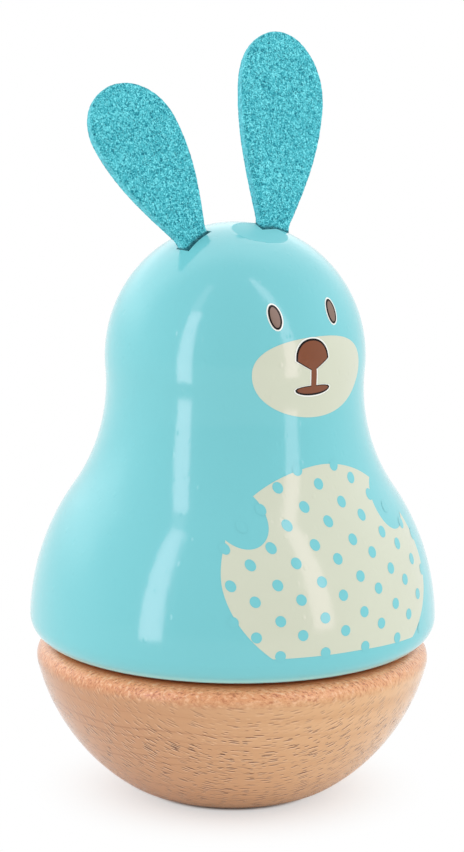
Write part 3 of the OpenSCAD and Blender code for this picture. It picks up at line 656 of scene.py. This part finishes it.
blue_lacquer = lacquer("blue_lacquer", light_blue, deep_blue)
dull_lacquer = lacquer("dull_lacquer", light_blue, deep_blue, coat=0.85, haze=0.75)
bare_wood, shader = new_finish("bare_hardwood", roughness=0.75)
fibres = mottle(bare_wood, lie(bare_wood), (900, 900, 60), detail=3)
drive(
    bare_wood, shader, base_color=tint(bare_wood, fibres, colour(186, 152, 112), colour(216, 188, 150)),
    normal=relief(bare_wood, fibres, bare_relief),
)
for finish in (blue_lacquer, bare_wood, dull_lacquer):
    body.data.materials.append(finish)
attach(body, "figure")
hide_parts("body")

# Printed belly
# A pale belly with two round bites and blue dots, pad printed on the lacquer before its last clear coat.
# Each print is a thin film round the body, placed in millimetres across from the face's middle and in height.
INK = 0.03 * MM
CELL = 1.2 * MM
SMOOTH_ALL_OVER = 180
print_askew = 0.06
print_droop = 0.035
belly_middle = 56
belly_half = 28.6
belly_top = 23.2
belly_drop = 21
belly_foot = 41.55
left_bite = (-21, 69.9, 6.1)
right_bite = (20.3, 69.6, 6.2)


def outer_radius(height):
    """Radius of the body's outside at a height, by the part of the outline that it falls on."""
    if height >= head_height:
        return head_radius * math.sqrt(max(0, 1 - ((height - head_height) / crown_rise) ** 2))
    if height >= head_height + head_radius * math.sin(head_start):
        return math.sqrt(head_radius**2 - (height - head_height) ** 2)
    if height >= belly_centre.y + belly_arc * math.sin(belly_end):
        return neck_centre.x - math.sqrt(neck_arc**2 - (height - neck_centre.y) ** 2)
    return belly_centre.x + math.sqrt(belly_arc**2 - (height - belly_height) ** 2)


def film(name, finish, layer, *outlines):
    """Lays flat print shapes on the body: each is filled, cut into cells and wrapped round the figure."""
    bm = bmesh.new()
    for outline in outlines:
        bm.faces.new([bm.verts.new((across * MM, 0, height * MM)) for across, height in outline])
    for axis in (Vector((1, 0, 0)), Vector((0, 0, 1))):
        places = [corner.co.dot(axis) for corner in bm.verts]
        for cell in range(math.floor(min(places) / CELL) + 1, math.ceil(max(places) / CELL)):
            bmesh.ops.bisect_plane(
                bm, geom=bm.verts[:] + bm.edges[:] + bm.faces[:], dist=WELD,
                plane_co=axis * cell * CELL, plane_no=axis,
            )
    for corner in bm.verts:
        across, _, height = corner.co
        radius = outer_radius(height)
        angle = across / radius
        radius += layer * INK
        corner.co = (radius * math.sin(angle), -radius * math.cos(angle), height)
    piece = stand(bm, name, SMOOTH_ALL_OVER)
    piece.data.materials.append(finish)
    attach(piece, "figure")


def oval(across, height, half_width, rise, drop, upper=2.0, lower=2.0, points=64, askew=0):
    """An oval with its own height above and below the middle; the powers make it fuller or more pointed."""
    outline = []
    for step in range(points):
        angle = 2 * math.pi * step / points
        out, up = math.cos(angle), math.sin(angle)
        tall, power = (rise, upper) if up >= 0 else (drop, lower)
        reach = (abs(out / half_width) ** power + abs(up / tall) ** power) ** (-1 / power)
        outline.append((across + reach * out + askew * reach * up, height + reach * up))
    return outline


def bitten(outline, across, height, radius):
    """Takes a round bite out of an outline: the points inside the bite give way to its edge."""
    inside = [math.hypot(point[0] - across, point[1] - height) < radius for point in outline]
    count = len(outline)
    start = next(at for at in range(count) if inside[at] and not inside[at - 1])
    length = next(run for run in range(1, count) if not inside[(start + run) % count])
    first, last = (
        math.atan2(outline[at % count][1] - height, outline[at % count][0] - across)
        for at in (start, start + length - 1)
    )
    sweep = (last - first) % (2 * math.pi) - 2 * math.pi
    edge = []
    for step in range(count):
        angle = first + sweep * step / (count - 1)
        edge.append((across + radius * math.cos(angle), height + radius * math.sin(angle)))
    kept = [outline[(start + length + step) % count] for step in range(count - length)]
    return edge + kept


cream = lacquer("cream_print", colour(209, 214, 195), colour(202, 207, 187))
belly = oval(
    0, belly_middle, belly_half, belly_top, belly_drop, upper=1.8, lower=1.85, points=240, askew=print_askew
)
belly = [(across, height - print_droop * across) for across, height in belly]
belly = bitten(bitten(belly, *left_bite), *right_bite)
belly = [(across, max(height, belly_foot - print_droop * max(across, 0))) for across, height in belly]
film("belly_print", cream, 1, belly)

# The dots stand in staggered rows. The print lies a little askew, and closer where the body is slimmer.
dot_radius = 1.17
column_step = 10.05
row_step = 7.3
stagger = (5.2, 3.2)
top_row = 75.4
first_column = -0.9
slimming = 0.0013
full_width_height = 50
ROWS = range(-1, 6)
COLUMNS = range(-4, 5)
dots = []
for row in ROWS:
    for column in COLUMNS:
        for shift_across, shift_up in ((0, 0), stagger):
            height = top_row - row * row_step + shift_up
            across = first_column + column * column_step + shift_across
            across *= 1 - slimming * (height - full_width_height)
            across -= print_askew * (top_row - height)
            within = (across / (belly_half + dot_radius)) ** 2
            within += ((height - belly_middle) / (belly_top + dot_radius)) ** 2
            if within < 1 and height > belly_foot - dot_radius:
                dots.append(oval(across, height, dot_radius, dot_radius, dot_radius, points=24))
film("belly_dots", blue_lacquer, 2, *dots)

# Printed face
# The muzzle is printed with the belly. The nose, the mouth and the eyes follow on a white ground.
# The ground stands out round their dark lines, and the lines round their brown or taupe.
line_width = 0.42
ground_margin = 0.3
muzzle_across = 0.95
muzzle_height = 99
nose_across = -0.2
nose_height = 101.7
stem_across = nose_across + 0.13
stem_height = 97.6
mouth_across = nose_across + 0.1
mouth_height = 95.4
eyes_across = (-7.7, 7.3)
eye_height = 110.9
brown = lacquer("brown_print", colour(127, 66, 27), colour(113, 56, 22))
dark = lacquer("dark_print", colour(20, 14, 14), colour(14, 10, 10), coat=0.2)
white = lacquer("white_underprint", colour(244, 246, 240), colour(236, 240, 234))
taupe = lacquer("taupe_print", colour(136, 112, 98), colour(118, 96, 84), coat=0.6)


def nose(inset):
    """The nose's outline, drawn in all round."""
    return oval(
        nose_across, nose_height, half_width=4.25 - inset, rise=4.4 - inset, drop=2.5 - 0.4 * inset,
        upper=2.2, lower=1.05,
    )


def stem(inset):
    """The stem between nose and mouth, drawn in at its sides."""
    return oval(stem_across, stem_height, half_width=0.7 - inset, rise=2.2, drop=1.9, upper=8, lower=8)


def mouth(inset):
    """The mouth's outline, drawn in all round."""
    return oval(
        mouth_across, mouth_height, half_width=4.55 - inset, rise=0.75 - 0.4 * inset, drop=1.4 - inset,
        upper=2.4,
    )


def eyes(inset):
    """Both eyes' outlines, drawn in all round."""
    return [
        oval(across, eye_height, half_width=1.42 - inset, rise=2.5 - inset, drop=2.5 - inset)
        for across in eyes_across
    ]


film(
    "muzzle_print", cream, 1,
    oval(muzzle_across, muzzle_height, half_width=15.35, rise=7.35, drop=9.8, upper=2.25, points=120),
)
film(
    "nose_and_mouth_ground", white, 2, nose(-ground_margin), stem(-ground_margin), mouth(-ground_margin)
)
film("nose_and_mouth_line", dark, 3, nose(0), mouth(0))
film("nose_and_mouth_print", brown, 4, nose(line_width), stem(0), mouth(line_width))
film("eye_ground", white, 1, *eyes(-ground_margin))
film("eye_line", dark, 2, *eyes(0))
film("eye_print", taupe, 3, *eyes(line_width))

# Ears
# Cut from thick, stiff teal felt and glued with their tongues in the slots of the head.
# Loose fibres speckle the faces and fuzz the cut edges, which carry a painted highlight,
# and painted shade darkens the felt just over the slots.
left_length = 37.5 * MM
right_length = 48 * MM
ear_width = 22.2 * MM
ear_neck = 1 * MM
ear_widest = 0.69
felt_edge = 0.45 * MM
felt_voxel = 0.42 * MM
felt_relief = 0.14 * MM
nap = 0.1 * MM
fuzz_height = 0.06 * MM
FUZZ_REPEATS = 1500
seat_shade_rise = 0.9 * MM
EDGE_HIGHLIGHT_MARK = "cut_edge_highlight"
SEAT_SHADE_MARK = "seat_shade_line"
EAR_STEPS = 16

ear_felt, shader = new_finish("ear_felt", roughness=0.95, specular_ior_level=0.2, sheen_weight=0.04)
place = lie(ear_felt)
strands = mottle(ear_felt, place, (2000, 2200, 1800), detail=3, roughness=0.62)
strands.node.inputs["Distortion"].default_value = 1.4
clumps = mottle(ear_felt, place, (380, 380, 380))
pits, chance = specks(ear_felt, place, (1500, 1500, 1500), 0.12, 0.42)
pits = weigh(ear_felt, pits, between(ear_felt, chance, 0.1, 0.7))
edge_highlight = add(ear_felt, "ShaderNodeAttribute", attribute_name=EDGE_HIGHLIGHT_MARK).outputs["Fac"]
seat_shade = add(ear_felt, "ShaderNodeAttribute", attribute_name=SEAT_SHADE_MARK).outputs["Fac"]
tone = tint(ear_felt, clumps, colour(60, 176, 191), colour(76, 190, 203))
tone = tint(ear_felt, between(ear_felt, strands, 0.5, 0.62), tone, colour(126, 233, 243))
tone = tint(ear_felt, between(ear_felt, strands, 0.5, 0.38), tone, colour(16, 121, 140))
tone = tint(ear_felt, weigh(ear_felt, pits, 0.65), tone, colour(10, 112, 132))
# Painted highlight along the cut edges, partly the lighter fuzz of the cut.
tone = tint(ear_felt, between(ear_felt, edge_highlight, 0.7, 0.97, 0, 0.5), tone, colour(112, 208, 222))
# Painted shade: the felt darkens just over the slots, where it meets the head.
tone = tint(ear_felt, between(ear_felt, seat_shade, 0.4, 1, 0, 0.75), tone, colour(6, 62, 76))
fibres = combine(ear_felt, "SUBTRACT", strands, pits)
drive(ear_felt, shader, base_color=tone, normal=relief(ear_felt, fibres, felt_relief))


def rise_over_head(point):
    """Height of a point over the head's round or its landing, whichever is the surface there."""
    crown = Vector((point.x / head_radius, point.y / head_radius, (point.z - head_height) / crown_rise))
    return max((crown.length - 1) * head_radius, (point - landing_seat.translation).dot(landing_up))


def ear(name, node, length, seat):
    """Cuts an ear's outline, gives it the felt's thickness and roughens its faces and edges."""
    blade = length - ear_neck
    swell = ear_widest * blade
    side = [(tongue_width / 2, -slot_depth)]
    for step in range(EAR_STEPS + 1):
        rise = math.pi / 2 * step / EAR_STEPS
        side.append((
            tongue_width / 2 + (ear_width - tongue_width) / 2 * math.sin(rise),
            ear_neck + swell * step / EAR_STEPS,
        ))
    for step in range(1, EAR_STEPS):
        rise = math.pi / 2 * step / EAR_STEPS
        side.append((ear_width / 2 * math.cos(rise), ear_neck + swell + (blade - swell) * math.sin(rise)))
    outline = side + [(0, length)] + [(-across, up) for across, up in reversed(side)]

    bm = bmesh.new()
    cut = bm.faces.new([bm.verts.new((across, -felt_thickness / 2, up)) for across, up in outline])
    pulled = bmesh.ops.extrude_face_region(bm, geom=[cut])["geom"]
    back = [part for part in pulled if isinstance(part, bmesh.types.BMVert)]
    bmesh.ops.translate(bm, vec=(0, felt_thickness, 0), verts=back)
    rims = [edge for edge in bm.edges if abs(edge.verts[0].co.y - edge.verts[1].co.y) < felt_thickness / 2]
    bmesh.ops.bevel(
        bm, geom=rims, offset=felt_edge, affect="EDGES", segments=3, profile=0.5, material=-1
    )
    bmesh.ops.recalc_face_normals(bm, faces=bm.faces[:])
    piece = stand(bm, name)
    change = piece.modifiers.new("even_mesh", "REMESH")
    change.mode = "VOXEL"
    change.voxel_size = felt_voxel
    depsgraph = bpy.context.evaluated_depsgraph_get()
    even = bpy.data.meshes.new_from_object(piece.evaluated_get(depsgraph))
    piece.modifiers.clear()

    bm = bmesh.new()
    bm.from_mesh(even)
    bpy.data.meshes.remove(even)
    for _ in range(2):
        bmesh.ops.smooth_vert(
            bm, verts=bm.verts[:], factor=0.5, use_axis_x=True, use_axis_y=True, use_axis_z=True
        )
    bm.normal_update()
    edge_highlight_mark = bm.verts.layers.float.new(EDGE_HIGHLIGHT_MARK)
    seat_shade_mark = bm.verts.layers.float.new(SEAT_SHADE_MARK)
    for corner in bm.verts:
        corner[edge_highlight_mark] = 1 - abs(corner.normal.y)
        fuzz = noise.fractal(corner.co * FUZZ_REPEATS, 0.8, 2.0, 3)
        corner.co += corner.normal * (nap + fuzz_height * fuzz)
    bmesh.ops.transform(bm, matrix=seat, verts=bm.verts[:])
    for corner in bm.verts:
        corner[seat_shade_mark] = max(0, 1 - rise_over_head(corner.co) / seat_shade_rise)
    bm.to_mesh(piece.data)
    bm.free()
    piece.data.shade_smooth()
    piece.data.materials.append(ear_felt)
    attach(piece, "figure")
    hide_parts(node)


ear("felt_ear_left", "left_ear", left_length, left_seat)
ear("felt_ear_right", "right_ear", right_length, right_seat)

# Floor
# A plain matt table top, wide enough to fill the view.
# It keeps the soft shadow near the foot and runs out into an even white.
floor_radius = 6
FLOOR_SEGMENTS = 96
shadow_core = 17 * MM
shadow_end = 46 * MM
contact_start = 17.2 * MM
contact_end = 19.4 * MM
mirror_start = 25 * MM
mirror_end = 60 * MM
bm = bmesh.new()
bmesh.ops.create_circle(bm, cap_ends=True, segments=FLOOR_SEGMENTS, radius=floor_radius)
floor = stand(bm, "floor")
table_top, shader = new_finish(
    "table_top", base_color=(0.97, 0.94, 0.915, 1), roughness=0.9, specular_ior_level=0.1
)
distance = add(table_top, "ShaderNodeVectorMath", {0: lie(table_top)}, operation="LENGTH").outputs["Value"]
whiter = combine(
    table_top, "ADD", between(table_top, distance, contact_start, contact_end, 0, 0.55),
    between(table_top, distance, shadow_core, shadow_end, 0, 0.45),
)
rays = add(table_top, "ShaderNodeLightPath").outputs
seen = weigh(table_top, whiter, rays["Is Camera Ray"])
mirrored = weigh(table_top, between(table_top, distance, mirror_start, mirror_end), rays["Is Glossy Ray"])
even_white = add(table_top, "ShaderNodeEmission", {"Color": (1, 1, 1, 1), "Strength": 1})
run_out = add(
    table_top, "ShaderNodeMixShader",
    {0: combine(table_top, "MAXIMUM", seen, mirrored), 1: shader.outputs[0], 2: even_white.outputs[0]},
)
surface = table_top.node_tree.nodes["Material Output"].inputs["Surface"]
table_top.node_tree.links.new(run_out.outputs[0], surface)
floor.data.materials.append(table_top)

# Light
# A white tent, dimmer where the camera looks in and brighter in its roof at the back, for the crown's gloss.
# Wide panels, one warmer and one cooler, light the sides, and narrow rosy strips draw the long highlights.
# The left strip has two lengths, the right one leans a little, and both stop short of the floor.
VIEW_AZIMUTH = -36
TENT_LEVEL = 1.02
MOUTH_LEVEL = 0.7
ROOF_LEVEL = 0.87
panel_swing = 100
panel_distance = 1.0
panel_size = 0.8
strip_distance = 0.27
warm_white = (1, 0.9, 0.91)
cool_white = (0.93, 0.97, 1)
rosy_white = (1, 0.76, 0.84)
world = bpy.data.worlds.new("white_tent")
bpy.context.scene.world = world
world.use_nodes = True
tent = world.node_tree.nodes["Background"]
tent.inputs["Color"].default_value = (1, 1, 1, 1)
view_angle = math.radians(VIEW_AZIMUTH)
direction = add(world, "ShaderNodeTexCoord").outputs["Generated"]


def pointing(way):
    """How far a direction in the tent points a given way, from -1 to 1."""
    product = add(world, "ShaderNodeVectorMath", {0: direction, 1: way}, operation="DOT_PRODUCT")
    return product.outputs["Value"]


towards_camera = pointing((math.sin(view_angle), -math.cos(view_angle), 0))
rightwards = pointing((math.cos(view_angle), math.sin(view_angle), 0))
tent_mouth = between(world, towards_camera, -0.1, 0.85, 1, MOUTH_LEVEL)
roof = between(world, measure(world, direction, "Z"), 0, 0.35, 0, ROOF_LEVEL)
roof = weigh(world, roof, between(world, towards_camera, 0.05, -0.35))
roof = weigh(world, roof, between(world, rightwards, 0.1, 0.7, 1, 0.25))
tent_inside = combine(world, "ADD", tent_mouth, roof)
rays = add(world, "ShaderNodeLightPath").outputs
mirrored = combine(world, "MAXIMUM", rays["Is Glossy Ray"], rays["Is Transmission Ray"])
brightness = blend(world, mirrored, TENT_LEVEL, tent_inside)
brightness = combine(world, "MAXIMUM", brightness, rays["Is Camera Ray"])
world.node_tree.links.new(brightness, tent.inputs["Strength"])


def soft_box(name, azimuth, distance, low, high, width, power, glow, lean=0):
    """A tall rectangular lamp that faces the figure, leaning sideways by some degrees."""
    lamp = bpy.data.lights.new(name, "AREA")
    lamp.shape = "RECTANGLE"
    lamp.size = width
    lamp.size_y = high - low
    lamp.energy = power
    lamp.color = glow
    box = bpy.data.objects.new(name, lamp)
    angle = math.radians(azimuth)
    box.location = (distance * math.sin(angle), -distance * math.cos(angle), (low + high) / 2)
    box.rotation_euler = (turn(azimuth, "Z") @ turn(90, "X") @ turn(lean, "Z")).to_euler()
    box.visible_camera = False
    bpy.context.scene.collection.objects.link(box)
    return box


for side, power, glow in ((-1, 3.1, warm_white), (1, 2.2, cool_white)):
    panel_azimuth = VIEW_AZIMUTH + side * panel_swing
    panel = soft_box("side_panel", panel_azimuth, panel_distance, 0, panel_size, panel_size, power, glow)
    panel.visible_glossy = False
for name, swing, low, high, width, power, lean in (
    ("left_strip", -42.5, 0.03, 0.325, 0.058, 0.25, 0),
    ("left_strip_top", -45, 0.325, 0.66, 0.05, 0.066, 0),
    ("right_strip", 44.5, 0.05, 1.0, 0.056, 0.5, 2.2),
):
    strip = soft_box(name, VIEW_AZIMUTH + swing, strip_distance, low, high, width, power, rosy_white, lean)
    strip.visible_diffuse = False

# Camera
# A long lens, a little above the head and to the figure's right side, rolled by half a degree.
# Its place is fitted to the outlines in the photograph, and it turns so that the aim falls on its pixel.
IMAGE_WIDTH = 464
IMAGE_HEIGHT = 852
FOCAL_PIXELS = 3388
elevation = math.radians(13.16)
roll = math.radians(0.6)
aim = Vector((0, 0, 61.81 * MM))
aim_pixel = Vector((233.5, 517))
away = 0.75
look = Vector((
    -math.sin(view_angle) * math.cos(elevation),
    math.cos(view_angle) * math.cos(elevation),
    -math.sin(elevation),
))
sideways = Vector((math.cos(view_angle), math.sin(view_angle), 0))
upward = sideways.cross(look)
right = sideways * math.cos(roll) + upward * math.sin(roll)
upward = upward * math.cos(roll) - sideways * math.sin(roll)
tip = math.atan((aim_pixel.y - IMAGE_HEIGHT / 2) / FOCAL_PIXELS)
swing = math.atan((aim_pixel.x - IMAGE_WIDTH / 2) / FOCAL_PIXELS)
forward = look * math.cos(tip) + upward * math.sin(tip)
upward = upward * math.cos(tip) - look * math.sin(tip)
right, forward = (
    right * math.cos(swing) + forward * math.sin(swing), forward * math.cos(swing) - right * math.sin(swing)
)
lens = bpy.data.cameras.new("camera")
lens.sensor_fit = "HORIZONTAL"
lens.sensor_width = 36
lens.lens = FOCAL_PIXELS * lens.sensor_width / IMAGE_WIDTH
camera = bpy.data.objects.new("camera", lens)
turned_to_aim = Matrix((right, upward, -forward)).transposed().to_4x4()
camera.matrix_world = Matrix.Translation(aim - away * look) @ turned_to_aim
bpy.context.scene.collection.objects.link(camera)
bpy.context.scene.camera = camera
bpy.context.scene.view_settings.view_transform = "Standard"
